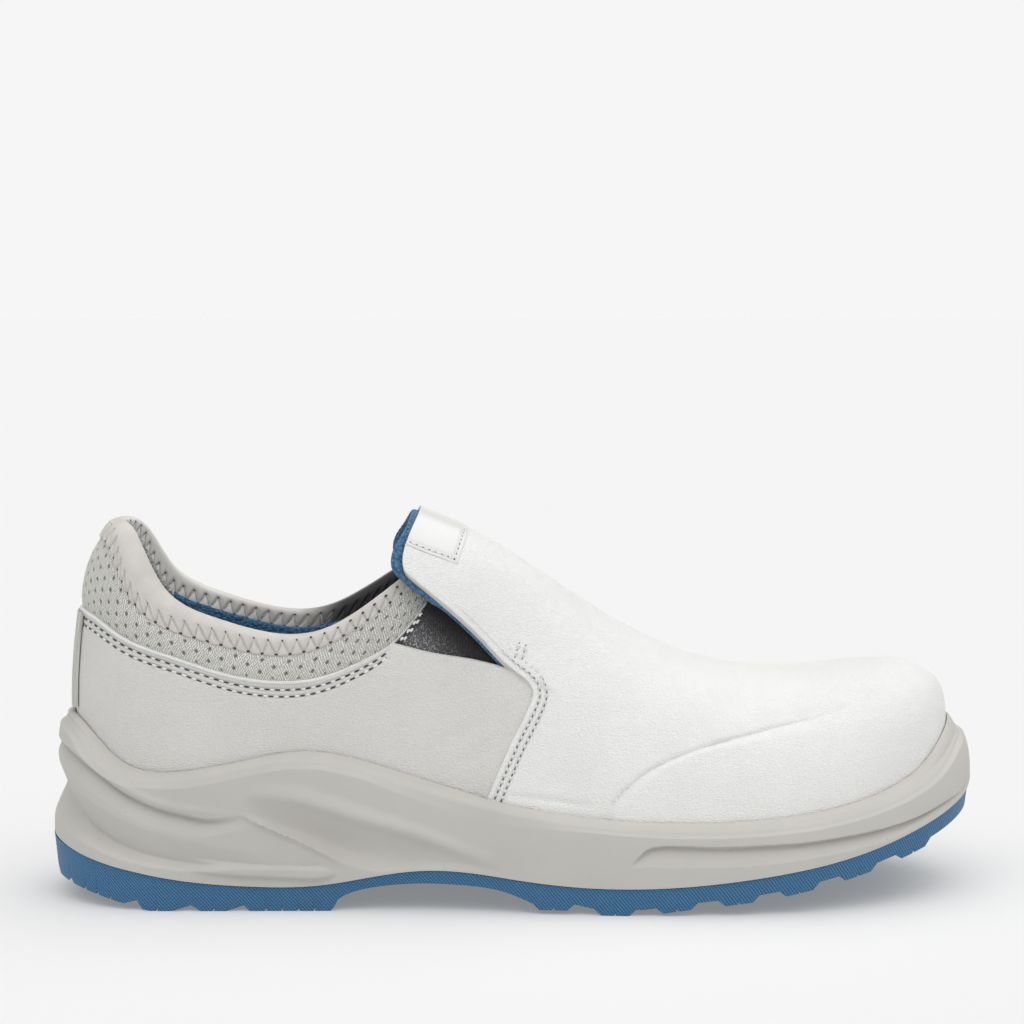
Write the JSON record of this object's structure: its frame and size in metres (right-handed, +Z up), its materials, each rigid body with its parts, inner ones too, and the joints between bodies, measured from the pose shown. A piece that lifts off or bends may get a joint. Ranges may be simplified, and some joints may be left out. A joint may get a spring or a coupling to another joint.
{
  "type": "safety shoe",
  "caption": "Slip-on safety shoe with a white leather upper, padded mesh collar, elastic throat, moulded grey midsole and blue lugged outsole.",
  "frame": {"origin": "middle of the footprint, on the floor that the sole stands on", "axes": "+X from the heel to the toe, +Y from the outer to the inner side of the foot, +Z up"},
  "size_m": [0.3, 0.1007, 0.1237],
  "materials": {
    "outsole": "matte moulded, fine diagonal ribbing",
    "midsole": "satin moulded foam skin",
    "upper_leather": "fine-grained, semi-matte",
    "collar_mesh": "knitted mesh with rows of small holes",
    "binding": "soft, smooth, matte",
    "elastic": "woven elastic, matte",
    "lining": "spacer mesh, matte",
    "heel_strip": "fine pebbled, matte",
    "label": "smooth, semi-matte, stitched edge",
    "insole": "matte textile"
  },
  "bodies": {
    "root": {"outsole": "outsole", "midsole": "midsole", "upper": "upper_leather", "collar": "collar_mesh", "collar_binding": "binding", "gore_lateral": "elastic", "gore_medial": "elastic", "flap_lining": "lining", "heel_strip": "heel_strip", "flap_label": "label", "insole": "insole"}
  },
  "joints": []
}
